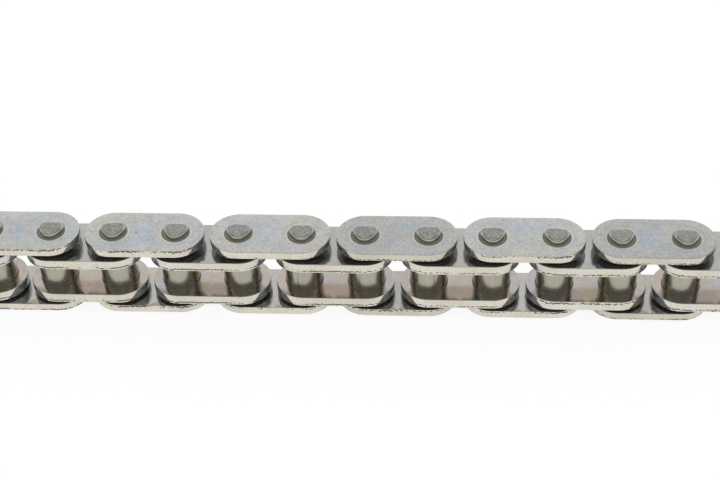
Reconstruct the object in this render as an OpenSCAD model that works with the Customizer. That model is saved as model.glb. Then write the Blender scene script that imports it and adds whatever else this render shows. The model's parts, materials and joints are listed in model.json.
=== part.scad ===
// Single-row bush timing chain: a straight run of riveted links lying on its side, pins upright.
// Inner links (two plates pressed on two curled bushes) alternate with outer links
// (two plates pressed and riveted on two pins), and every pin turns in a bush.
// X runs along the chain, Y across its plates, Z along its pins.
// The origin is the middle of the middle link, half way between the outer plates.

/* [Chain] */
// Pitch, from one pin centre to the next
pitch = 8; // [7.6:0.1:12.7]
// Number of inner links, one more than the outer links between them
inner_links = 7; // [3:2:7]

/* [Link plates] */
// Height of a link plate, which is also the diameter of its round ends
plate_h = 7.3; // [6:0.1:7.5]
// Thickness of an outer plate
outer_plate_t = 1.1; // [0.9:0.05:1.6]
// Thickness of an inner plate
inner_plate_t = 1.4; // [0.9:0.05:1.8]
// Width between the two inner plates of a link, where the sprocket tooth runs
inner_w = 4.4; // [3:0.1:6]
// Radius of the tumbled edge all round a plate
plate_edge_r = 0.1; // [0.05:0.01:0.25]

/* [Pins] */
// Diameter of a pin
pin_d = 3.2; // [2.5:0.05:3.6]
// How far a riveted pin end stands proud of the outer plate
pin_stand_out = 0.55; // [0.3:0.05:0.8]
// Width of the bevelled rim of a riveted pin end
pin_rim_w = 0.16; // [0.1:0.02:0.3]
// Height of the bevelled rim of a riveted pin end
pin_rim_h = 0.3; // [0.1:0.05:0.35]
// Radius of the three flattened sides that the riveting tool leaves on a pin end
stroke_r = 3.5; // [2.5:0.1:6]
// How deep the tool presses in the back of a pin end
stroke_back = 0.46; // [0.1:0.02:0.5]
// How deep it presses in the two front sides
stroke_front = 0.16; // [0.1:0.02:0.5]
// Turn from the back stroke to each front stroke, in degrees
stroke_turn = 125; // [115:1:130]
// Width of the countersink round a pin in the outer plate
countersink_w = 0.24; // [0.1:0.02:0.4]
// Depth of that countersink
countersink_h = 0.12; // [0.05:0.01:0.3]

/* [Bushes] */
// Wall of a curled bush
bush_wall = 0.725; // [0.5:0.025:0.9]
// Running clearance between a pin and its bush, on the radius
pin_clearance = 0.05; // [0.02:0.01:0.1]
// How far a bush stands proud of its inner plates on each side
bush_stand_out = 0.42; // [0.2:0.02:0.6]
// Radius of the rounded outer edge at each end of a bush
bush_edge_r = 0.15; // [0.05:0.05:0.25]
// Width of the groove along the butt seam of a curled bush
seam_w = 0.12; // [0.06:0.02:0.2]

/* [Play] */
// Free side play of an inner link between the outer plates
side_play = 0.44; // [0.2:0.02:0.6]
// Clearance left under an inner link that has dropped on the lower outer plates
rest_gap = 0.04; // [0.02:0.01:0.08]

/* [Hidden] */
$fn = 64;
// Overshoot of a cutter past the face it cuts
over = 1;
outer_links = inner_links - 1;

bush_bore = pin_d + 2 * pin_clearance;
bush_d = bush_bore + 2 * bush_wall;
bush_len = inner_w + 2 * (inner_plate_t + bush_stand_out);
outer_gap = bush_len + side_play;
pin_len = outer_gap + 2 * (outer_plate_t + pin_stand_out);
pin_head_h = pin_stand_out + countersink_h;
countersink_slope = countersink_w / countersink_h;
inner_drop = side_play / 2 - rest_gap;

// Where each bush's seam points, in degrees round from the front of the chain, by link and by end
seam_angles = [[150, 205], [120, 170], [230, 140], [-14, -17], [17, 215], [160, 100], [190, 235]];

INNER_PIECES = ["upper_plate", "lower_plate", "left_bush", "right_bush"];
OUTER_PIECES = ["upper_plate", "lower_plate", "left_pin", "right_pin"];
NODES = concat(
    [for (k = [1:inner_links]) for (piece = INNER_PIECES) str("inner_", k, "_", piece)],
    [for (k = [1:outer_links]) for (piece = OUTER_PIECES) str("outer_", k, "_", piece)]
);
node = "all";

function drawn(name) = node == "all" || node == name;
function inner_x(k) = (2 * k - 1 - inner_links) * pitch;
function outer_x(k) = (2 * k - 1 - outer_links) * pitch;
function seam_angle(k, end) = seam_angles[(k - 1) % len(seam_angles)][end];

// Half section of a round piece, r by h, with its two outer corners rounded by e
module rounded_half(r, h, e) {
    square([r - e, h]);
    translate([0, e]) square([r, h - 2 * e]);
    for (y = [e, h - e]) translate([r - e, y]) circle(e);
}

// Plain link plate, standing on Z 0, with tumbled edges and no holes
module plate_blank(t) {
    for (side = [-1, 1])
        translate([side * pitch / 2, 0, 0])
            rotate([0, 0, -90 * side]) rotate_extrude(angle = 180) rounded_half(plate_h / 2, t, plate_edge_r);
    translate([-pitch / 2, 0, 0]) rotate([90, 0, 90]) linear_extrude(pitch) {
        rounded_half(plate_h / 2, t, plate_edge_r);
        mirror([1, 0]) rounded_half(plate_h / 2, t, plate_edge_r);
    }
}

// Inner plate, standing on Z 0, bored for its two bushes
module inner_plate() {
    difference() {
        plate_blank(inner_plate_t);
        for (side = [-1, 1])
            translate([side * pitch / 2, 0, -over]) cylinder(d = bush_d, h = inner_plate_t + 2 * over);
    }
}

// Outer plate, standing on Z 0 with its outside up, bored and countersunk for its two pins
module outer_plate() {
    difference() {
        plate_blank(outer_plate_t);
        for (side = [-1, 1]) translate([side * pitch / 2, 0, 0]) {
            translate([0, 0, -over]) cylinder(d = pin_d, h = outer_plate_t + 2 * over);
            translate([0, 0, outer_plate_t - countersink_h])
                cylinder(r1 = pin_d / 2, r2 = pin_d / 2 + (countersink_h + over) * countersink_slope,
                         h = countersink_h + over);
        }
    }
}

module inner_upper_plate() {
    color("#b9b6b2") translate([0, 0, inner_w / 2]) inner_plate();
}

module inner_lower_plate() {
    color("#b9b6b2") mirror([0, 0, 1]) translate([0, 0, inner_w / 2]) inner_plate();
}

module outer_upper_plate() {
    color("#b7b9bb") translate([0, 0, outer_gap / 2]) outer_plate();
}

module outer_lower_plate() {
    color("#b7b9bb") mirror([0, 0, 1]) translate([0, 0, outer_gap / 2]) outer_plate();
}

// Bush curled from strip, with the groove of its butt seam at an angle round from the front
module bush(angle) {
    color("#a8a493") translate([0, 0, -bush_len / 2]) difference() {
        rotate_extrude() rounded_half(bush_d / 2, bush_len, bush_edge_r);
        translate([0, 0, -over]) cylinder(d = bush_bore, h = bush_len + 2 * over);
        rotate([0, 0, angle - 90]) translate([bush_d / 2, 0, bush_len / 2]) rotate([0, 0, 45])
            cube([seam_w / sqrt(2), seam_w / sqrt(2), bush_len + 2 * over], center = true);
    }
}

// Round blank of a pin end, of radius r, standing on Z 0 with its upper rim bevelled
module bevelled_round(r) {
    rotate_extrude() polygon([
        [0, 0], [r, 0], [r, pin_head_h - pin_rim_h], [r - pin_rim_w, pin_head_h], [0, pin_head_h]
    ]);
}

// What one stroke of the riveting tool, coming from an angle and going in by a depth, leaves of a pin end
module stroke(angle, depth) {
    rotate([0, 0, angle]) translate([pin_d / 2 - depth - stroke_r, 0, 0]) bevelled_round(stroke_r);
}

// Riveted pin end, standing on Z 0, flattened on its back and its two front sides
module pin_head() {
    intersection() {
        bevelled_round(pin_d / 2);
        stroke(90, stroke_back);
        stroke(90 - stroke_turn, stroke_front);
        stroke(90 + stroke_turn, stroke_front);
    }
}

// Pin with a riveted head at each end, which reaches down to the foot of the countersink
module pin() {
    color("#8f918c") {
        cylinder(d = pin_d, h = pin_len - 2 * pin_head_h, center = true);
        for (end = [0, 1]) mirror([0, 0, end]) translate([0, 0, pin_len / 2 - pin_head_h]) pin_head();
    }
}

for (k = [1:inner_links]) translate([inner_x(k), 0, -inner_drop]) {
    if (drawn(str("inner_", k, "_upper_plate"))) inner_upper_plate();
    if (drawn(str("inner_", k, "_lower_plate"))) inner_lower_plate();
    if (drawn(str("inner_", k, "_left_bush"))) translate([-pitch / 2, 0, 0]) bush(seam_angle(k, 0));
    if (drawn(str("inner_", k, "_right_bush"))) translate([pitch / 2, 0, 0]) bush(seam_angle(k, 1));
}

for (k = [1:outer_links]) translate([outer_x(k), 0, 0]) {
    if (drawn(str("outer_", k, "_upper_plate"))) outer_upper_plate();
    if (drawn(str("outer_", k, "_lower_plate"))) outer_lower_plate();
    if (drawn(str("outer_", k, "_left_pin"))) translate([-pitch / 2, 0, 0]) pin();
    if (drawn(str("outer_", k, "_right_pin"))) translate([pitch / 2, 0, 0]) pin();
}
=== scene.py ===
"""Looks of a single-row bush timing chain: blanked plates, riveted pins and curled bushes in bright steel."""
import json
import math

import bmesh
import bpy
from bpy.props import FloatProperty, FloatVectorProperty, IntProperty, PointerProperty
from mathutils import Matrix, Vector, noise


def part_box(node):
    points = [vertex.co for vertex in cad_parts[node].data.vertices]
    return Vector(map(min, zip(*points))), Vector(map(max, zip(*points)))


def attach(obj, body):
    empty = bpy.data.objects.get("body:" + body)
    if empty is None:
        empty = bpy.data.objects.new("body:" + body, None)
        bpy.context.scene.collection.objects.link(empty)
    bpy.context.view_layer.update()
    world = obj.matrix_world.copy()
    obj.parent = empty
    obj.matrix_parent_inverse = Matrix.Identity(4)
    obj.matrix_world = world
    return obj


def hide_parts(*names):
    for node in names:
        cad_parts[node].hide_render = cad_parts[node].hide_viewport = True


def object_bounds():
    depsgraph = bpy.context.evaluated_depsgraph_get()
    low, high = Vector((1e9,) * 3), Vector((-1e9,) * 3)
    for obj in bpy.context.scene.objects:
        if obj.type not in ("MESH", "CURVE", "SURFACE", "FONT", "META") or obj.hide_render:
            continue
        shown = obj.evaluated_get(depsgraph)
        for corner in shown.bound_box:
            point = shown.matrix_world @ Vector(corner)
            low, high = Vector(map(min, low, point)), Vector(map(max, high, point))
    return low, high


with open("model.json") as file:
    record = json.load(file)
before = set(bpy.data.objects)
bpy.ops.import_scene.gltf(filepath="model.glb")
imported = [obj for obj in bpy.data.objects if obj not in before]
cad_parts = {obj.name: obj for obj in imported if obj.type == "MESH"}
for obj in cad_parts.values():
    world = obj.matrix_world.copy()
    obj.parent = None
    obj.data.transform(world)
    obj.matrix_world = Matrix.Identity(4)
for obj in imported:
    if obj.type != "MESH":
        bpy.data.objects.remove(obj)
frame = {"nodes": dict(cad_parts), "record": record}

bl_info = {
    "name": "Timing chain",
    "version": (1, 0, 0),
    "blender": (4, 5, 0),
    "location": "3D View > Sidebar > Chain",
    "description": "Dresses a straight run of bush timing chain and sets it on a pale studio floor",
    "category": "Object",
}

CAD_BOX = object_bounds()
BODY_OF = {node: body for body, nodes in frame["record"]["behaviour"]["bodies"].items() for node in nodes}

# Plates whose torn edge is the upper one; the others have it below.
TORN_UP = {
    "outer_1_upper_plate", "outer_2_upper_plate", "outer_5_upper_plate",
    "outer_2_lower_plate", "outer_3_lower_plate", "outer_4_lower_plate", "outer_5_lower_plate",
    "inner_6_lower_plate",
}
# Outer links whose steel is a shade darker.
DARKER = {"outer_4", "outer_6"}
# Where each bush's seam points, in degrees round from the front, by inner link and by its left and right end.
SEAM_ANGLES = ((150, 205), (120, 170), (230, 140), (-14, -17), (17, 215), (160, 100), (190, 235))


def mm(value):
    """Metres from millimetres."""
    return value / 1000


# Within this of a height or a radius, a point counts as lying at it.
AT_HEIGHT = mm(0.001)
AT_RADIUS = mm(0.02)
# Within this of a plate's outline, a point counts as being on its rim.
RIM_BAND = mm(0.25)
# Within this of a bush's bore, a point counts as being on the bore.
BORE_BAND = mm(0.1)
# Points closer than this are one point.
WELD = mm(0.0005)
# A limit stretched by this also takes in the points that lie on it.
SLACK = 1.01
# An edge that bends more than this parts a flat from a wall, in radians.
CORNER = 0.3
# A face whose normal rises less than this is a wall.
UPRIGHT = 0.05
# Edges that bend more than this stay sharp.
CREASE = math.radians(40)
BUSH_CREASE = math.radians(20)
# Radius of the lip of a countersink.
LIP = mm(0.05)
# Segments of a rounded edge and of that lip.
EDGE_SEGMENTS = 5
LIP_SEGMENTS = 3
# Spreads plates at different heights apart in the noise along their rims.
NOISE_SPREAD = 5000
# Largest twist of a pin's end in degrees, and how fast it changes from pin to pin.
PIN_TWIST = 4
TWIST_STEP = 2.3
# Floor: how far it lies below the chain, its paper, and how strongly and how much it glows to the eye.
FLOOR_GAP = mm(0.01)
PAPER = (0.92, 0.92, 0.92, 1.0)
GLOW = 1.02
GLOW_SHARE = 0.88
# Length, width and place of the soft lamp, in metres.
LAMP_SIZE = (1.2, 0.8)
LAMP_PLACE = (-0.15, 0.75, 0.75)
# Width of the camera's frame in millimetres, and the nearest it sees.
SENSOR_WIDTH = 36
CLIP_START = mm(1)


def length(name, description, millimetres):
    """A size that a user may change."""
    return FloatProperty(name=name, description=description, default=mm(millimetres), unit="LENGTH", precision=5)


def colour(name, description, red, green, blue):
    """A colour that a user may change."""
    return FloatVectorProperty(
        name=name, description=description, default=(red, green, blue), subtype="COLOR", min=0, max=1)


def share(name, description, value):
    """A share between 0 and 1 that a user may change."""
    return FloatProperty(name=name, description=description, default=value, min=0, max=1, subtype="FACTOR")


def light(name, description, value):
    """A brightness that a user may change, where 1 is white."""
    return FloatProperty(name=name, description=description, default=value, min=0, max=4)


def turn(name, description, degrees):
    """An angle that a user may change."""
    return FloatProperty(name=name, description=description, default=math.radians(degrees), subtype="ANGLE")


class ChainShapes(bpy.types.PropertyGroup):
    """Sizes of the edges and ends of the pieces."""
    roll: length("Rolled edge", "Radius of a plate's edge on the side that the punch entered", 0.09)
    burr: length("Torn edge", "Radius of a plate's edge on the side that tore", 0.045)
    tear_inner: length("Torn strip, inner plate", "Height of the torn strip on an inner plate's side", 0.29)
    tear_outer: length("Torn strip, outer plate", "Height of the torn strip on an outer plate's side", 0.16)
    tear_half: length("Tear", "Half the width of the tear above the torn strip", 0.06)
    tear_step: length("Tear step", "How far the torn strip lies behind the sheared side", 0.025)
    tear_wander: length("Tear wander", "How far the tear strays up and down", 0.05)
    nick: length("Nicks", "Depth of the nicks in a torn edge", 0.03)
    countersink: length("Countersink", "Width of the countersink round a pin", 0.26)
    countersink_depth: length("Countersink depth", "Depth of the countersink round a pin", 0.03)
    # The burnished ring round a hole: smoother grain, and on the outer plates a painted highlight.
    burnish_and_highlight: length("Burnished ring", "Width of the ring that pressing burnished round a hole", 0.22)
    rim_width: length("Pin rim width", "Width of the rim of a riveted pin end, at its two sides", 0.22)
    rim_height: length("Pin rim height", "Height of the rim of a riveted pin end", 0.36)
    rim_lean: share("Pin rim lean", "How much wider the rim is at the front, and narrower at the back", 0.35)
    upset: length("Rivet gap", "How far the riveted end of a pin lies inside its shank's radius", 0.02)
    stroke_radius: length("Stroke radius", "Radius of the sides that the riveting tool flattens", 8)
    stroke_back: length("Back stroke", "How deep the tool presses in the back of a pin end", 0.50)
    stroke_front: length("Front strokes", "How deep it presses in the two front sides", 0.27)
    stroke_tip: length("Tip stroke", "How deep it presses in the very front", 0.16)
    stroke_turn: turn("Stroke turn", "From the back stroke to each front stroke", 129)
    bush_edge: length("Bush edge", "Radius of the edge at a bush's end", 0.15)
    seam_half: length("Seam", "Half the width of the groove along a bush's butt seam", 0.06)
    seam_depth: length("Seam depth", "Depth of that groove", 0.06)
    round_steps: IntProperty(name="Round steps", description="Sides of a full circle", default=128, min=32, max=256)


class ChainFinishes(bpy.types.PropertyGroup):
    """Colours and roughness of the four steels."""
    outer: colour("Outer plate", "Satin flat of an outer plate", 0.575, 0.59, 0.578)
    outer_warm: colour("Outer plate, warm", "Its colour on the faces that oil has coated", 0.60, 0.58, 0.565)
    outer_blue: colour("Outer plate, blue", "Bluish stain on it", 0.52, 0.57, 0.625)
    outer_pink: colour("Outer plate, pink", "Pinkish stain on it", 0.615, 0.578, 0.572)
    outer_straw: colour("Outer plate, straw", "Straw stain on it", 0.60, 0.595, 0.525)
    outer_rough: share("Outer plate roughness", "Roughness of an outer plate's flat", 0.24)
    inner: colour("Inner plate", "Bright flat of an inner plate", 0.525, 0.525, 0.505)
    inner_warm: colour("Inner plate, warm", "Its colour on the faces that oil has coated", 0.60, 0.545, 0.485)
    inner_blue: colour("Inner plate, lilac", "Lilac stain on it", 0.54, 0.53, 0.56)
    inner_pink: colour("Inner plate, pink", "Pinkish stain on it", 0.60, 0.52, 0.475)
    inner_straw: colour("Inner plate, tan", "Tan stain on it", 0.58, 0.52, 0.42)
    inner_rough: share("Inner plate roughness", "Roughness of an inner plate's flat", 0.13)
    side: colour("Plate side", "Sheared side of a plate", 0.695, 0.663, 0.553)
    side_cool: colour("Plate side, cool", "Cooler streaks on it", 0.60, 0.605, 0.59)
    side_blue: colour("Plate side, blue", "Bluish stain on it", 0.52, 0.60, 0.64)
    side_pink: colour("Plate side, pink", "Pinkish stain on it", 0.72, 0.62, 0.55)
    # Painted light: colour of the round ends' sides, which also get less metal so that diffuse light lifts their dark
    # reflections.
    side_end: colour("Plate end", "Side of a plate's round ends", 0.54, 0.585, 0.60)
    side_rough: share("Plate side roughness", "Roughness of a plate's side", 0.13)
    # Dark joint colour where a plate meets its pins and bushes; on the outer plates it is also painted shade, kept to
    # the front half of each countersink.
    mouth: colour("Countersink", "Dull steel where a plate meets its pins and bushes", 0.165, 0.163, 0.15)
    # Dirt in tears, nicks and pits on the plates; the bushes use it as painted shade where they enter the plates.
    dirt_and_shade: colour("Dirt", "Dark oil in tears, nicks and corners", 0.04, 0.036, 0.028)
    bush: colour("Bush", "Polished curled steel", 0.412, 0.398, 0.325)
    bush_brown: colour("Bush, brown", "Brownish stain on it", 0.425, 0.38, 0.295)
    bush_rough: share("Bush roughness", "Roughness of a bush", 0.25)
    pin_end: colour("Pin end", "Matt riveted end of a pin", 0.386, 0.383, 0.358)
    pin_rough: share("Pin end roughness", "Roughness of a pin's end", 0.5)
    pin_rim: colour("Pin rim", "Burnished rim of a pin's end", 0.55, 0.56, 0.46)
    # Painted shade on the side of a pin below its rim.
    pin_foot_shade: colour("Pin foot", "Oily side of a pin below its rim", 0.22, 0.21, 0.16)


class ChainStage(bpy.types.PropertyGroup):
    """Camera, floor and light."""
    aim: FloatVectorProperty(
        name="Aim", description="Point that the camera looks at", default=(mm(2.965), mm(4.62), mm(0.225)),
        subtype="XYZ", unit="LENGTH")
    distance: length("Distance", "From the camera to its aim", 207.78)
    turn: turn("Turn", "Camera's turn round the upright from the front", 4.781)
    height: turn("Height", "Camera's angle above the floor", 42.145)
    roll: turn("Roll", "Camera's tilt in its own frame", -2.45)
    lens: FloatProperty(name="Lens", description="Focal length for a 36 mm wide frame", default=79.98, unit="CAMERA")
    floor_size: length("Floor", "Length of the floor's side", 6000)
    open_light: light("Open light", "Brightness of the studio near the floor and overhead", 0.7)
    low_light: light("Low back light", "Brightness of the studio near the floor behind", 0.9)
    back_light: light("Back light", "Brightness of the studio half way up behind", 0.62)
    front_light: light("Front light", "Brightness of the studio half way up in front", 0.21)
    flag_light: light("Flags", "Brightness of the dark flags at the chain's two ends", 0.075)
    flag_tint: colour("Flag tint", "Colour of the flags", 0.72, 0.87, 1.0)
    lamp_light: light("Lamp", "Power of the soft lamp above the back, in watts", 0.55)


class Term:
    """A socket that takes part in sums: each sum adds a Math node to the finish."""

    def __init__(self, finish, socket):
        self.finish = finish
        self.socket = socket

    def sum(self, operation, *values):
        return self.finish.term("ShaderNodeMath", {"operation": operation}, dict(enumerate(values)))

    def __add__(self, other):
        return self.sum("ADD", self, other)

    def __sub__(self, other):
        return self.sum("SUBTRACT", self, other)

    def __mul__(self, other):
        return self.sum("MULTIPLY", self, other)

    def __radd__(self, other):
        return self.sum("ADD", other, self)

    def __rsub__(self, other):
        return self.sum("SUBTRACT", other, self)

    def __rmul__(self, other):
        return self.sum("MULTIPLY", other, self)

    def __abs__(self):
        return self.sum("ABSOLUTE", self)

    def at_most(self, other):
        return self.sum("MINIMUM", self, other)

    def at_least(self, other):
        return self.sum("MAXIMUM", self, other)

    def root(self):
        return self.sum("SQRT", self)

    def folded(self, half):
        """Distance from the nearest multiple of twice half."""
        return self.sum("PINGPONG", self, half)


class Finish:
    """The nodes of one material or world."""

    def __init__(self, tree):
        self.tree = tree
        tree.nodes.clear()

    def node(self, kind, settings=None, sockets=None):
        """A node of this kind, with its settings made before its sockets are set or linked."""
        made = self.tree.nodes.new(kind)
        for name, value in (settings or {}).items():
            setattr(made, name, value)
        for name, value in (sockets or {}).items():
            if isinstance(value, Term):
                self.tree.links.new(value.socket, made.inputs[name])
            else:
                made.inputs[name].default_value = value
        return made

    def term(self, kind, settings=None, sockets=None, out=0):
        """One output of such a node, ready for sums."""
        return Term(self, self.node(kind, settings, sockets).outputs[out])

    def place(self):
        """Where a point is on the chain, in millimetres."""
        metres = self.term("ShaderNodeTexCoord", out="Object")
        return self.term("ShaderNodeVectorMath", {"operation": "SCALE"}, {"Vector": metres, "Scale": 1000.0})

    def stretched(self, place, x, y, z):
        """The place with each axis scaled, for patterns that run one way."""
        return self.term("ShaderNodeVectorMath", {"operation": "MULTIPLY"}, {0: place, 1: (x, y, z)})

    def moved(self, place, far):
        """A place far off, for a pattern that has nothing to do with another of the same kind."""
        return self.term("ShaderNodeVectorMath", {"operation": "ADD"}, {0: place, 1: (far, far, far)})

    def axes(self, vector):
        """The three parts of a vector."""
        parts = self.node("ShaderNodeSeparateXYZ", None, {0: vector})
        return [Term(self, socket) for socket in parts.outputs]

    def marked(self, name):
        """The share that the piece's mesh gives a point for this mark."""
        return self.term("ShaderNodeAttribute", {"attribute_name": name}, out="Fac")

    def noise(self, place, scale, detail=2.0, roughness=0.5):
        """Cloudy pattern about 0.5, with scale in patches to the millimetre."""
        return self.term("ShaderNodeTexNoise", None,
                         {"Vector": place, "Scale": scale, "Detail": detail, "Roughness": roughness})

    def ramp(self, value, low, high):
        """0 below low and 1 above high, smooth between them. It falls where low is the larger."""
        return self.term("ShaderNodeMapRange", {"interpolation_type": "SMOOTHSTEP"},
                         {"Value": value, "From Min": low, "From Max": high})

    def blend(self, part, first, second, how="MIX"):
        """Colour between two colours, or the first changed by the second."""
        first, second = (c if isinstance(c, Term) else (*c, 1.0) for c in (first, second))
        return self.term("ShaderNodeMix", {"data_type": "RGBA", "blend_type": how}, {0: part, 6: first, 7: second},
                         out=2)

    def shaded(self, colour, tone):
        """A colour made darker or lighter."""
        grey = self.term("ShaderNodeCombineColor", None, {0: tone, 1: tone, 2: tone})
        return self.blend(1.0, colour, grey, "MULTIPLY")

    def bumps(self, height, depth):
        """Normal of a surface whose height varies, with depth in millimetres for a height of 1."""
        return self.term("ShaderNodeBump", None, {"Height": height, "Distance": mm(depth), "Strength": 1.0})

    def steel(self, colour, roughness, metal, normal):
        """The finish's surface, with metal 1 for clean steel and 0 for dirt."""
        shader = self.term("ShaderNodeBsdfPrincipled", None,
                           {"Base Color": colour, "Roughness": roughness, "Metallic": metal, "Normal": normal})
        self.node("ShaderNodeOutputMaterial", None, {"Surface": shader})


def new_finish(name):
    """A material and the finish that holds its nodes."""
    material = bpy.data.materials.new(name)
    material.use_nodes = True
    return material, Finish(material.node_tree)


def plate_steel(name, like, plain, warm, blue, pink, straw, roughness, satin, torn_strip, finishes):
    """Blanked plate: stained flat, sheared side, dirty tear, dark joints with painted shade at the holes, a painted
    highlight round the outer plates' holes, and painted light on the round ends. satin is 1 for a dull flat and 0 for a
    bright one.

    like is one of the plates, which stand two pitches apart.
    """
    material, f = new_finish(name)
    place = f.place()
    level = f.stretched(place, 1.0, 1.0, 0.0)
    side = f.ramp(f.marked("side"), 0.12, 0.55)
    flat = 1.0 - side

    low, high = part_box(like)
    pitch = 1000 * (high.x - low.x - high.y + low.y)
    x, y, _ = f.axes(place)
    past = (x - 500 * (low.x + high.x)).folded(pitch) - pitch / 2
    from_hole = (past * past + y * y).root()
    from_spine = (past.at_least(0.0) * past.at_least(0.0) + y * y).root()

    oiled = f.ramp(f.marked("oiled"), 0.2, 0.8)
    dull = satin * (1.0 - oiled)
    drift = f.noise(place, 0.22, 1.0)
    cloud = f.noise(f.moved(place, 5), 0.9, 3.0, 0.55)
    middle = f.ramp(from_spine + 2.4 * (cloud - 0.5), 3.3, 1.4) * f.ramp(from_hole, 1.9, 3.4)
    blueness = f.noise(f.moved(place, 11), 0.6, 4.0, 0.58) + 0.6 * drift + 0.24 * dull * (middle - 0.4)
    bluish = f.ramp(blueness - 0.08 * satin * oiled, 0.79, 1.06)
    pinkish = f.ramp(f.noise(f.moved(place, 37), 0.5, 5.0, 0.68), 0.46, 0.64)
    strawy = f.ramp(f.noise(f.moved(place, 71), 0.4, 5.0, 0.68), 0.46, 0.64)
    tanned = 0.3 + 0.7 * satin + 0.7 * (1.0 - satin) * oiled
    ground = f.blend(tanned * strawy * 0.9, f.blend(oiled, plain, warm), straw)
    stained = f.blend(bluish, f.blend(tanned * pinkish * 0.8, ground, pink), blue)
    grain = f.noise(place, 3.1, 3.0, 0.62)
    fleck = f.ramp(f.noise(place, 2.9, 1.0), 0.735, 0.765)
    burnish_and_highlight = f.ramp(f.marked("burnish_and_highlight"), 0.25, 0.75)
    mottle = (0.30 + 0.48 * dull) * (1.0 - 0.6 * burnish_and_highlight)
    tide = f.noise(f.moved(place, 53), 0.21, 1.0)
    rub = dull * f.ramp(abs(from_hole - 2.35 - 0.3 * (cloud - 0.5)), 0.12, 0.03) * f.ramp(tide, 0.52, 0.58)
    shade = f.marked("shade")
    flat_tone = (1.0 + mottle * (grain - 0.5) + 0.26 * (cloud - 0.5) + 0.16 * (tide - 0.5)) * (1.0 - 0.5 * fleck)
    flat_tone = flat_tone * (1.0 - 0.10 * shade - 0.22 * rub * f.ramp(grain, 0.42, 0.56))

    drag = f.noise(f.stretched(place, 1.0, 1.0, 0.12), 5.0, 2.0)
    blotch = f.noise(f.moved(place, 23), 1.2, 3.0, 0.6)
    streaked = f.blend(f.ramp(blotch, 0.50, 0.72) * 0.6, finishes.side, finishes.side_cool)
    stained_side = f.blend(bluish * 0.35, f.blend(pinkish * 0.35, streaked, finishes.side_pink), finishes.side_blue)
    # Painted light: the sides at the round ends take their own cooler colour, and less metal below, so that diffuse
    # light lifts the dark reflections on them.
    bent = f.ramp(f.marked("round"), 0.45, 0.85)
    sheared = f.blend(bent, stained_side, finishes.side_end)
    side_tone = 0.97 - 0.12 * shade + 0.22 * (drag - 0.5) + 0.22 * (grain - 0.5) + 0.35 * (drift - 0.5)

    zigzag = 0.75 * (f.noise(level, 3.0, 2.0, 0.6) - 0.5) + 0.25 * (f.noise(level, 0.5, 1.0) - 0.5)
    stretch = f.noise(f.moved(level, 29), 0.3, 1.0)
    gash = 0.75 * (f.noise(f.moved(level, 3), 2.7, 3.0, 0.7) - 0.5) + 0.45 * (stretch - 0.5)
    away = abs(f.marked("rise") - torn_strip * 1000 - zigzag)
    tear = side * f.ramp(away - (gash + 0.07 - 0.03 * satin).at_most(0.11), 0.03, -0.03)
    pit = side * f.ramp(f.noise(place, 2.6, 2.0), 0.68, 0.74)
    dirty = (tear * 0.95 + pit * 0.2).at_most(1.0)
    # Dark joint at each hole's edge, with painted shade: on the outer plates the darkening fades out towards the back
    # of each countersink and stays on its front half.
    mouth = f.ramp(f.marked("mouth"), 0.40 - 0.40 * satin, 0.85 - 0.65 * satin) * (1.0 - satin * f.ramp(y, 0.3, 1.2))

    # Painted highlight: the burnished ring round each outer plate's countersink is painted lighter, for the light its
    # rounded rim catches.
    pale = 0.12 * satin * burnish_and_highlight * (1.0 - mouth)
    clean = f.shaded(f.blend(side, stained, sheared), (flat_tone + pale) * flat + side_tone * side)
    tinted = f.blend(mouth, clean, finishes.mouth)
    flat_rough = roughness - 0.10 * satin * oiled + 0.10 * (cloud - 0.5) + 0.12 * (grain - 0.5) * dull
    side_rough = finishes.side_rough + 0.12 * (drag - 0.5)
    rough = flat_rough * flat + side_rough * side + 0.4 * (dirty + mouth)
    swell = f.noise(place, 0.55, 2.0)
    height = grain * (0.06 + 0.22 * dull) * flat + swell * 0.5 + drag * side * 0.15 - fleck * 0.6 - pit * 0.5
    # The round ends of the side lose metal so that diffuse light lifts their dark reflections (painted light); dirt and
    # the hole edges lose metal too.
    metal = 1.0 - 0.04 * flat - 0.16 * bent * side - 0.8 * dirty - 0.7 * mouth
    f.steel(f.blend(dirty, tinted, finishes.dirt_and_shade), rough, metal, f.bumps(height, 0.006))
    return material


def bush_steel(finishes, foot, head):
    """Polished strip, curled: faint lines along the bush and a thin ring of painted shade where it enters each plate.
    """
    material, f = new_finish("bush steel")
    place = f.place()
    z = f.axes(place)[2]
    lines = f.noise(f.stretched(place, 1.0, 1.0, 0.05), 3.5, 2.0)
    cloud = f.noise(place, 0.9, 3.0)
    grain = f.noise(place, 5.0, 2.0, 0.6)
    # Painted shade: a dark band at each end of the bush, where it enters a plate, in the dirt colour and with less
    # metal.
    ring = (f.ramp(z, foot + 0.26, foot + 0.05) + f.ramp(z, head - 0.20, head - 0.04)).at_most(1.0)
    brown = f.blend(f.ramp(cloud, 0.45, 0.7) * 0.5, finishes.bush, finishes.bush_brown)
    tinted = f.shaded(brown, 1.0 + 0.25 * (lines - 0.5) + 0.25 * (cloud - 0.5) + 0.3 * (grain - 0.5))
    colour = f.blend(ring * (0.55 + 0.9 * (grain - 0.4)).at_most(0.95), tinted, finishes.dirt_and_shade)
    rough = finishes.bush_rough + 0.10 * (cloud - 0.5) + 0.10 * (grain - 0.5)
    f.steel(colour, rough, 1.0 - 0.5 * ring, f.bumps(lines * 0.10 + grain * 0.10 + cloud * 0.4, 0.006))
    return material


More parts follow.
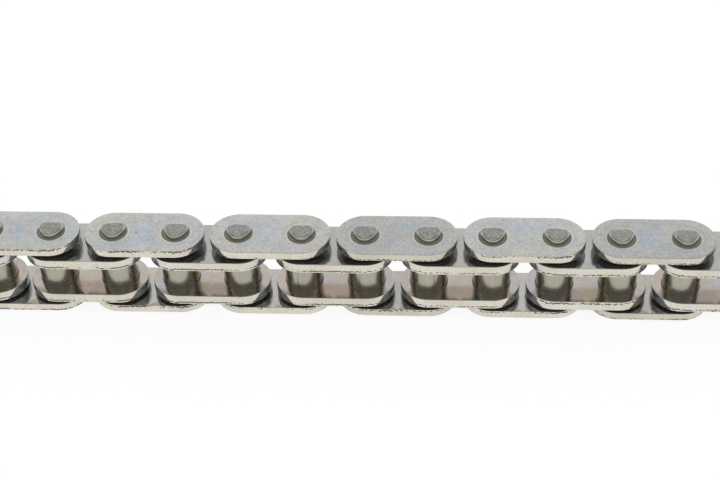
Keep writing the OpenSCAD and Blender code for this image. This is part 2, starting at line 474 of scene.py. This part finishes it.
def pin_steel(finishes):
    """Riveted pin: matt speckled end, burnished rim and a side darkened by painted shade below the rim."""
    material, f = new_finish("pin steel")
    place = f.place()
    end = f.ramp(f.marked("end"), 0.55, 0.85)
    # Painted shade on the side of the pin below its rim, darkest where it enters the plate.
    foot = f.ramp(f.marked("rim"), 0.16, 0.04)
    grain = f.noise(place, 3.6, 3.0, 0.75)
    cloud = f.noise(place, 1.1, 3.0)
    metal = f.blend(end, finishes.pin_rim, finishes.pin_end)
    toned = f.shaded(metal, 1.0 + 0.4 * (cloud - 0.5) + (0.4 + 2.0 * end) * (grain - 0.5))
    rough = 0.22 * (1.0 - end) + (finishes.pin_rough + 0.15 * (grain - 0.5)) * end + 0.2 * foot
    colour = f.blend(foot * 0.9, toned, finishes.pin_foot_shade)
    f.steel(colour, rough, 1.0 - 0.4 * foot, f.bumps(grain * end * 0.8 + cloud * 0.8, 0.008))
    return material


def finish_piece(shape, node, material, crease):
    """Makes a shape the piece that stands for a CAD node: smooth, with edges sharper than crease kept."""
    bmesh.ops.recalc_face_normals(shape, faces=shape.faces[:])
    for face in shape.faces:
        face.smooth = True
    for edge in shape.edges:
        edge.smooth = edge.calc_face_angle(0.0) < crease
    mesh = bpy.data.meshes.new(node + "_steel")
    shape.to_mesh(mesh)
    shape.free()
    mesh.materials.append(material)
    piece = bpy.data.objects.new(node + "_steel", mesh)
    bpy.context.scene.collection.objects.link(piece)
    normals = piece.modifiers.new("Flat stays flat", "WEIGHTED_NORMAL")
    normals.keep_sharp = True
    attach(piece, BODY_OF[node])
    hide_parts(node)


def mark(shape, name, value_at):
    """Gives each point of a shape a share for this mark, which its finish reads."""
    layer = shape.verts.layers.float.new(name)
    for v in shape.verts:
        v[layer] = value_at(v)


def rim_edges(shape, z, rim):
    """Edges at height z between a flat and a wall for which rim is true of both ends."""
    return [edge for edge in shape.edges
            if edge.calc_face_angle(0.0) > CORNER
            and all(abs(v.co.z - z) < AT_HEIGHT and rim(v.co) for v in edge.verts)]


def round_edges(shape, edges, width, segments):
    """Rounds edges, or chamfers them with one segment."""
    bmesh.ops.bevel(shape, geom=edges, offset=width, offset_type="OFFSET", segments=segments, profile=0.5,
                    affect="EDGES", clamp_overlap=False, material=-1)


class Plate:
    """A link plate in the making: a stadium with two holes, lying about the origin on Z 0."""

    def __init__(self, node, hole, torn_strip, mouth, shapes):
        self.shapes = shapes
        self.ring = hole + mouth + shapes.burnish_and_highlight
        self.shade = float(node.rsplit("_", 2)[0] in DARKER)
        self.low, self.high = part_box(node)
        self.reach = (self.high.y - self.low.y) / 2
        self.pitch = (self.high.x - self.low.x) - 2 * self.reach
        self.thick = self.high.z - self.low.z
        self.hole = hole
        self.torn_strip = torn_strip
        self.torn_up = node in TORN_UP
        self.lower = node.endswith("lower_plate")
        self.own = self.low.z * NOISE_SPREAD
        self.shape = bmesh.new()

    def outward(self, co):
        """From the line between the two hole centres to a point, level."""
        x = max(-self.pitch / 2, min(self.pitch / 2, co.x))
        return Vector((co.x - x, co.y, 0))

    def outside(self, co):
        """Whether a point is on the plate's rim and not at a hole."""
        return self.outward(co).length > self.reach - RIM_BAND

    def at_hole(self, co):
        """Whether a point is on the wall of a hole."""
        return abs(Vector((abs(co.x) - self.pitch / 2, co.y)).length - self.hole) < AT_RADIUS

    def from_tear(self, co):
        """Height of a point above the face on which the plate tore."""
        return self.thick - co.z if self.torn_up else co.z

    def along(self, co, closeness):
        """Rough number between -1 and 1 that changes along the rim, with closeness in changes to the millimetre."""
        return noise.noise(Vector((co.x * 1000 * closeness, co.y * 1000 * closeness, self.own)))

    def blank(self):
        """Cuts the stadium with its holes and gives it its thickness."""
        shape, steps = self.shape, self.shapes.round_steps
        outline = bmesh.ops.create_circle(shape, segments=steps, radius=self.reach)["verts"]
        bmesh.ops.rotate(shape, verts=outline, matrix=Matrix.Rotation(math.pi / steps, 3, "Z"))
        for side in (-1, 1):
            moved = [v for v in outline if v.co.x * side > 0]
            bmesh.ops.translate(shape, verts=moved, vec=(side * self.pitch / 2, 0, 0))
        straights = [edge for edge in shape.edges if edge.calc_length() > self.pitch / 2]
        step = 2 * math.pi * self.reach / steps
        bmesh.ops.subdivide_edges(shape, edges=straights, cuts=round(self.pitch / step))
        rings = []
        for side in (-1, 1):
            made = bmesh.ops.create_circle(shape, segments=steps // 2, radius=self.ring,
                                           matrix=Matrix.Translation((side * self.pitch / 2, 0, 0)))
            rings += list({edge for v in made["verts"] for edge in v.link_edges})
        bmesh.ops.triangle_fill(shape, use_beauty=True, edges=shape.edges[:], normal=(0, 0, 1))
        made = bmesh.ops.extrude_edge_only(shape, edges=rings)["geom"]
        for v in made:
            if isinstance(v, bmesh.types.BMVert):
                centre = Vector((math.copysign(self.pitch / 2, v.co.x), 0, 0))
                v.co = centre + (v.co - centre) * (self.hole / self.ring)
        lifted = bmesh.ops.extrude_face_region(shape, geom=shape.faces[:])["geom"]
        lifted = [item for item in lifted if isinstance(item, bmesh.types.BMVert)]
        bmesh.ops.translate(shape, verts=lifted, vec=(0, 0, self.thick))
        bmesh.ops.recalc_face_normals(shape, faces=shape.faces[:])

    def tumble(self):
        """Rounds the rim, more where the punch entered than where the plate tore."""
        for z in (0, self.thick):
            torn = (z > 0) == self.torn_up
            radius = self.shapes.burr if torn else self.shapes.roll
            round_edges(self.shape, rim_edges(self.shape, z, self.outside), radius, EDGE_SEGMENTS)

    def countersink(self, up):
        """Bevels the holes on the upper or the lower face, and softens the bevel's lip."""
        face = self.thick if up else 0
        shapes = self.shapes
        round_edges(self.shape, rim_edges(self.shape, face, self.at_hole), shapes.countersink, 1)
        for v in self.shape.verts:
            if self.at_hole(v.co) and abs(abs(v.co.z - face) - shapes.countersink) < AT_HEIGHT:
                v.co.z = face + math.copysign(shapes.countersink_depth, v.co.z - face)
        lip = self.hole + shapes.countersink

        def at_lip(co):
            return abs(Vector((abs(co.x) - self.pitch / 2, co.y)).length - lip) < AT_RADIUS

        round_edges(self.shape, rim_edges(self.shape, face, at_lip), LIP, LIP_SEGMENTS)

    def tear(self):
        """Cuts the torn strip along the side: it lies a little back, below a tear that wanders."""
        shapes = self.shapes
        for height in (-shapes.tear_half, 0, shapes.tear_half):
            level = self.torn_strip + height
            wall = [face for face in self.shape.faces
                    if abs(face.normal.z) < UPRIGHT and all(self.outside(v.co) for v in face.verts)]
            edges = list({edge for face in wall for edge in face.edges})
            points = list({v for face in wall for v in face.verts})
            bmesh.ops.bisect_plane(self.shape, geom=points + edges + wall, dist=WELD, plane_no=(0, 0, 1),
                                   plane_co=(0, 0, self.thick - level if self.torn_up else level))
        mark(self.shape, "rise", lambda v: self.from_tear(v.co) * 1000 if self.outside(v.co) else 9.0)
        for v in self.shape.verts:
            if self.outside(v.co):
                self.stray(v)

    def nicked(self, co):
        """How deep the torn edge is nicked at a point, as a share."""
        return min(1.0, max(0.0, (self.along(co, 1.7) - 0.25) * 3))

    def stray(self, v):
        """Sets a point of the torn strip back, and moves the tear up or down."""
        shapes = self.shapes
        height = self.from_tear(v.co)
        above = height - self.torn_strip
        if above > shapes.tear_half * SLACK:
            return
        outward = self.outward(v.co).normalized()
        back = shapes.tear_step * min(1.0, 0.5 - 0.5 * above / shapes.tear_half)
        if height < shapes.burr * SLACK:
            back += shapes.nick * self.nicked(v.co) * (0.4 + 0.6 * height / shapes.burr)
        elif abs(above) < shapes.tear_half * SLACK:
            rise = shapes.tear_wander * (0.6 * self.along(v.co, 0.9) + 0.7 * self.along(v.co, 2.9))
            v.co.z += -rise if self.torn_up else rise
        v.co -= outward * max(0.0, back)

    def mark_faces(self):
        """Marks the side, its round ends, the countersinks (dark joint and painted shade), the burnished rings (painted
        highlight) and the oily face.
        """
        shapes = self.shapes

        def side(v):
            if not self.outside(v.co):
                return 0.0
            depth = self.from_tear(v.co)
            return min(1.0, max(0.0, depth / shapes.burr), max(0.0, (self.thick - depth) / shapes.roll))

        def bend(v):
            return abs(self.outward(v.co).normalized().x) if self.outside(v.co) else 0.0

        def from_axis(co):
            return Vector((abs(co.x) - self.pitch / 2, co.y)).length

        # Hole edges, which the finish paints with a dark joint and painted shade.
        def mouth(v):
            return 1.0 if from_axis(v.co) < self.hole + AT_RADIUS else 0.0

        def burnish_and_highlight(v):
            return 0.0 if from_axis(v.co) > self.ring - AT_RADIUS else 1.0

        mark(self.shape, "side", side)
        mark(self.shape, "round", bend)
        mark(self.shape, "mouth", mouth)
        mark(self.shape, "burnish_and_highlight", burnish_and_highlight)
        mark(self.shape, "oiled", lambda v: float((v.co.z > self.thick / 2) == self.lower))
        mark(self.shape, "shade", lambda v: self.shade)

    def placed(self):
        """The finished shape, moved to its place on the chain."""
        middle = (self.low + self.high) / 2
        bmesh.ops.translate(self.shape, verts=self.shape.verts[:], vec=(middle.x, middle.y, self.low.z))
        return self.shape


def plate_shape(node, hole, torn_strip, mouth_up, shapes):
    """Link plate. Where mouth_up is given, its holes are countersunk on that side."""
    plate = Plate(node, hole, torn_strip, 0 if mouth_up is None else shapes.countersink, shapes)
    plate.blank()
    plate.tumble()
    if mouth_up is not None:
        plate.countersink(mouth_up)
    plate.mark_faces()
    plate.tear()
    return plate.placed()


def seam_of(node):
    """Angle of a bush's seam round from the front."""
    link, end = node.split("_")[1:3]
    return math.radians(SEAM_ANGLES[int(link) - 1][("left", "right").index(end)])


def bush_shape(node, bore, shapes):
    """Curled tube with rounded outer edges and the groove of its butt seam."""
    low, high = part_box(node)
    wall = (high.y - low.y) / 2
    seam = seam_of(node)
    along = Vector((math.sin(seam), -math.cos(seam), 0))
    across = Vector((math.cos(seam), math.sin(seam), 0))
    step = 2 * math.pi / shapes.round_steps
    shape = bmesh.new()
    section = [shape.verts.new(along * r + Vector((0, 0, z)))
               for r, z in ((bore, low.z), (wall, low.z), (wall, high.z), (bore, high.z))]
    for first, second in zip(section, section[1:] + section[:1]):
        shape.edges.new((first, second))
    bmesh.ops.spin(shape, geom=shape.verts[:] + shape.edges[:], cent=(0, 0, 0), axis=(0, 0, 1), dvec=(0, 0, 0),
                   angle=2 * math.pi, steps=shapes.round_steps, use_merge=True, use_duplicate=False)
    bmesh.ops.remove_doubles(shape, verts=shape.verts[:], dist=WELD)
    bmesh.ops.recalc_face_normals(shape, faces=shape.faces[:])
    for z in (low.z, high.z):
        outer = rim_edges(shape, z, lambda co: co.xy.length > wall - AT_RADIUS)
        round_edges(shape, outer, shapes.bush_edge, EDGE_SEGMENTS)
    for v in shape.verts:
        reach = v.co.xy.length
        if reach < bore + BORE_BAND or v.co.dot(along) < 0:
            continue
        angle = math.asin(max(-1, min(1, v.co.dot(across) / reach)))
        if abs(angle) < step / 2:
            v.co -= along * shapes.seam_depth
        elif abs(angle) < step * 1.5:
            aside = math.copysign(shapes.seam_half / wall, angle)
            v.co = (along * math.cos(aside) + across * math.sin(aside)) * reach + Vector((0, 0, v.co.z))
    middle = (low + high) / 2
    bmesh.ops.translate(shape, verts=shape.verts[:], vec=(middle.x, middle.y, 0))
    return shape


def pressed_radius(angle, reach, inset, shapes):
    """Distance from the axis to the side of a riveted pin end, at an angle round from its back, set in by inset.

    The nearest side counts most, so the corners between the sides are rounded.
    """
    sides = [reach - shapes.upset - inset]
    hollow = shapes.stroke_radius - inset
    strokes = ((0, shapes.stroke_back), (math.pi, shapes.stroke_tip), (shapes.stroke_turn, shapes.stroke_front),
               (-shapes.stroke_turn, shapes.stroke_front))
    for stroke, depth in strokes:
        offset = shapes.stroke_radius - (reach - depth)
        lean = offset * math.cos(angle - stroke)
        sides.append(math.sqrt(lean ** 2 - offset ** 2 + hollow ** 2) - lean)
    sharpness = 12
    return sum(side ** -sharpness for side in sides) ** (-1 / sharpness)


def pin_shape(node, number, head, shapes):
    """Pin whose two riveted ends are flattened on four sides and rounded at the rim."""
    low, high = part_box(node)
    reach = (high.y - low.y) / 2
    tall = high.z - low.z
    twist = math.radians(PIN_TWIST * math.sin(TWIST_STEP * number))
    rim_steps = 6
    rim = [step * math.pi / 2 / rim_steps for step in range(rim_steps + 1)]
    end = [(shapes.rim_height * (1 - math.cos(a)), shapes.rim_width * (1 - math.sin(a)), True) for a in rim]
    end += [(head, 0, True), (head, 0, False)]
    rings = end + [(tall - height, inset, pressed) for height, inset, pressed in reversed(end)]
    shape = bmesh.new()
    bmesh.ops.create_circle(shape, cap_ends=True, segments=shapes.round_steps, radius=reach)
    cap = shape.faces[:]
    for index, (height, inset, pressed) in enumerate(rings):
        if index:
            made = bmesh.ops.extrude_face_region(shape, geom=cap)["geom"]
            if index > 1:
                bmesh.ops.delete(shape, geom=cap, context="FACES_ONLY")
            cap = [item for item in made if isinstance(item, bmesh.types.BMFace)]
        for v in cap[0].verts:
            angle = math.atan2(v.co.x, v.co.y)
            lean = 1 - shapes.rim_lean * math.cos(angle - twist)
            radius = pressed_radius(angle - twist, reach, inset * lean, shapes) if pressed else reach
            v.co = (radius * math.sin(angle), radius * math.cos(angle), low.z + height)

    def depth(v):
        return min(v.co.z - low.z, high.z - v.co.z)

    mark(shape, "end", lambda v: 1.0 if depth(v) < shapes.rim_height * 0.05 else 0.0)
    mark(shape, "rim", lambda v: max(0.0, 1 - depth(v) / head))
    middle = (low + high) / 2
    bmesh.ops.translate(shape, verts=shape.verts[:], vec=(middle.x, middle.y, 0))
    return shape


def numbered(prefix, pieces):
    """Node names of one kind of link, such as inner, in order along the chain."""
    found = [node for node in frame["nodes"] if node.startswith(prefix) and node.split("_", 2)[2] in pieces]
    return sorted(found, key=lambda node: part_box(node)[0].x)


def half_width(node):
    """Half the width of a round node."""
    low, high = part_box(node)
    return (high.y - low.y) / 2


class CHAIN_OT_outer_plates(bpy.types.Operator):
    """Make the outer plates, countersunk round their pins"""
    bl_idname = "chain.outer_plates"
    bl_label = "Outer plates"

    def execute(self, context):
        shapes, finishes = context.scene.chain_shapes, context.scene.chain_finishes
        material = plate_steel("outer plate steel", "outer_1_upper_plate", finishes.outer, finishes.outer_warm,
                               finishes.outer_blue, finishes.outer_pink, finishes.outer_straw, finishes.outer_rough,
                               1.0, shapes.tear_outer, finishes)
        hole = half_width("outer_1_left_pin")
        for node in numbered("outer", ["upper_plate", "lower_plate"]):
            shape = plate_shape(node, hole, shapes.tear_outer, node.endswith("upper_plate"), shapes)
            finish_piece(shape, node, material, CREASE)
        return {"FINISHED"}


class CHAIN_OT_inner_plates(bpy.types.Operator):
    """Make the inner plates, pressed on their bushes"""
    bl_idname = "chain.inner_plates"
    bl_label = "Inner plates"

    def execute(self, context):
        shapes, finishes = context.scene.chain_shapes, context.scene.chain_finishes
        material = plate_steel("inner plate steel", "inner_1_upper_plate", finishes.inner, finishes.inner_warm,
                               finishes.inner_blue, finishes.inner_pink, finishes.inner_straw, finishes.inner_rough,
                               0.0, shapes.tear_inner, finishes)
        hole = half_width("inner_1_left_bush")
        for node in numbered("inner", ["upper_plate", "lower_plate"]):
            shape = plate_shape(node, hole, shapes.tear_inner, None, shapes)
            finish_piece(shape, node, material, CREASE)
        return {"FINISHED"}


class CHAIN_OT_bushes(bpy.types.Operator):
    """Make the curled bushes with their seams"""
    bl_idname = "chain.bushes"
    bl_label = "Bushes"

    def execute(self, context):
        foot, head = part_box("inner_1_lower_plate")[1].z * 1000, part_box("inner_1_upper_plate")[0].z * 1000
        material = bush_steel(context.scene.chain_finishes, foot, head)
        bore = mm(frame["record"]["mounts"][0]["dims"]["r_mm"])
        for node in numbered("inner", ["left_bush", "right_bush"]):
            finish_piece(bush_shape(node, bore, context.scene.chain_shapes), node, material, BUSH_CREASE)
        return {"FINISHED"}


class CHAIN_OT_pins(bpy.types.Operator):
    """Make the riveted pins"""
    bl_idname = "chain.pins"
    bl_label = "Pins"

    def execute(self, context):
        shapes = context.scene.chain_shapes
        material = pin_steel(context.scene.chain_finishes)
        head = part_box("outer_1_left_pin")[1].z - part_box("outer_1_upper_plate")[1].z + shapes.countersink_depth
        for number, node in enumerate(numbered("outer", ["left_pin", "right_pin"])):
            finish_piece(pin_shape(node, number, head, shapes), node, material, CREASE)
        return {"FINISHED"}


class CHAIN_OT_stage(bpy.types.Operator):
    """Set the pale floor, the studio light and the camera"""
    bl_idname = "chain.stage"
    bl_label = "Stage"

    def execute(self, context):
        stage = context.scene.chain_stage
        self.add_floor(stage)
        self.add_studio(context, stage)
        self.add_lamp(stage)
        self.add_camera(context, stage)
        context.scene.view_settings.view_transform = "Standard"
        return {"FINISHED"}

    def rays(self, finish):
        """1 for each kind of ray that shows the background: from the camera, in a reflection, through glass."""
        path = finish.node("ShaderNodeLightPath")
        return [Term(finish, path.outputs[name]) for name in ("Is Camera Ray", "Is Glossy Ray", "Is Transmission Ray")]

    def add_floor(self, stage):
        shape = bmesh.new()
        bmesh.ops.create_grid(shape, x_segments=1, y_segments=1, size=stage.floor_size / 2)
        bmesh.ops.translate(shape, verts=shape.verts[:], vec=(0, 0, CAD_BOX[0][2] - FLOOR_GAP))
        mesh = bpy.data.meshes.new("floor")
        shape.to_mesh(mesh)
        shape.free()
        material, f = new_finish("pale floor")
        camera, glossy, through = self.rays(f)
        paper = f.term("ShaderNodeBsdfDiffuse", None, {"Color": PAPER})
        glow = f.term("ShaderNodeEmission", None, {"Color": (1.0, 1.0, 1.0, 1.0), "Strength": GLOW})
        seen = (camera + glossy + through).at_most(1.0)
        shader = f.term("ShaderNodeMixShader", None, {0: seen * GLOW_SHARE, 1: paper, 2: glow})
        f.node("ShaderNodeOutputMaterial", None, {"Surface": shader})
        mesh.materials.append(material)
        floor = bpy.data.objects.new("floor", mesh)
        bpy.context.scene.collection.objects.link(floor)

    def add_studio(self, context, stage):
        """White all round to the eye. In the steel, brighter behind, darker in front, and darkest past the two ends."""
        world = bpy.data.worlds.new("studio")
        world.use_nodes = True
        f = Finish(world.node_tree)
        x, y, z = f.axes(f.term("ShaderNodeTexCoord", out="Generated"))
        camera, glossy, through = self.rays(f)
        behind = f.ramp(y, -0.05, 0.40)
        half_way_up = f.ramp(z, 0.44, 0.56) * f.ramp(z, 0.92, 0.82)
        ends = f.ramp(abs(x), 0.40, 0.64) * f.ramp(y, -0.22, -0.02)
        middle = stage.front_light + (stage.back_light - stage.front_light) * behind
        band = middle * (1.0 - ends) + stage.flag_light * ends
        clear = stage.open_light + (stage.low_light - stage.open_light) * behind * f.ramp(z, 0.56, 0.44)
        shown = clear + (band - clear) * half_way_up
        plain = (camera + through).at_most(1.0)
        level = plain + (1.0 - plain) * (glossy * shown + (1.0 - glossy))
        tint = f.blend(glossy * ends * half_way_up, (1.0, 1.0, 1.0), stage.flag_tint)
        background = f.term("ShaderNodeBackground", None, {"Color": tint, "Strength": level})
        f.node("ShaderNodeOutputWorld", None, {"Surface": background})
        context.scene.world = world

    def add_lamp(self, stage):
        lamp = bpy.data.lights.new("soft lamp", "AREA")
        lamp.shape = "RECTANGLE"
        lamp.size, lamp.size_y = LAMP_SIZE
        lamp.energy = stage.lamp_light
        holder = bpy.data.objects.new("soft lamp", lamp)
        place = Vector(LAMP_PLACE)
        holder.location = place
        holder.rotation_euler = place.to_track_quat("Z", "Y").to_euler()
        bpy.context.scene.collection.objects.link(holder)

    def add_camera(self, context, stage):
        back = Vector((math.sin(stage.turn) * math.cos(stage.height),
                       -math.cos(stage.turn) * math.cos(stage.height), math.sin(stage.height)))
        right = Vector((0, 0, 1)).cross(back).normalized()
        up = back.cross(right)
        tilt = Matrix.Rotation(stage.roll, 3, back)
        turned = Matrix((tilt @ right, tilt @ up, back)).transposed().to_4x4()
        lens = bpy.data.cameras.new("camera")
        lens.sensor_width = SENSOR_WIDTH
        lens.lens = stage.lens
        lens.clip_start = CLIP_START
        camera = bpy.data.objects.new("camera", lens)
        camera.matrix_world = Matrix.Translation(Vector(stage.aim) + back * stage.distance) @ turned
        context.scene.collection.objects.link(camera)
        context.scene.camera = camera


class CHAIN_PT_panel(bpy.types.Panel):
    """The chain's pieces and sizes"""
    bl_idname = "CHAIN_PT_panel"
    bl_label = "Timing chain"
    bl_space_type = "VIEW_3D"
    bl_region_type = "UI"
    bl_category = "Chain"

    def draw(self, context):
        for operator in OPERATORS:
            self.layout.operator(operator.bl_idname)
        for group in (context.scene.chain_shapes, context.scene.chain_finishes, context.scene.chain_stage):
            for name in group.__annotations__:
                self.layout.prop(group, name)


GROUPS = {"chain_shapes": ChainShapes, "chain_finishes": ChainFinishes, "chain_stage": ChainStage}
OPERATORS = (CHAIN_OT_outer_plates, CHAIN_OT_inner_plates, CHAIN_OT_bushes, CHAIN_OT_pins, CHAIN_OT_stage)


def register():
    for cls in (*GROUPS.values(), *OPERATORS, CHAIN_PT_panel):
        bpy.utils.register_class(cls)
    for name, group in GROUPS.items():
        setattr(bpy.types.Scene, name, PointerProperty(type=group))


def unregister():
    for name in GROUPS:
        delattr(bpy.types.Scene, name)
    for cls in reversed((*GROUPS.values(), *OPERATORS, CHAIN_PT_panel)):
        bpy.utils.unregister_class(cls)


def main():
    register()
    bpy.ops.chain.outer_plates()
    bpy.ops.chain.inner_plates()
    bpy.ops.chain.bushes()
    bpy.ops.chain.pins()
    bpy.ops.chain.stage()


if __name__ == "__main__":
    main()
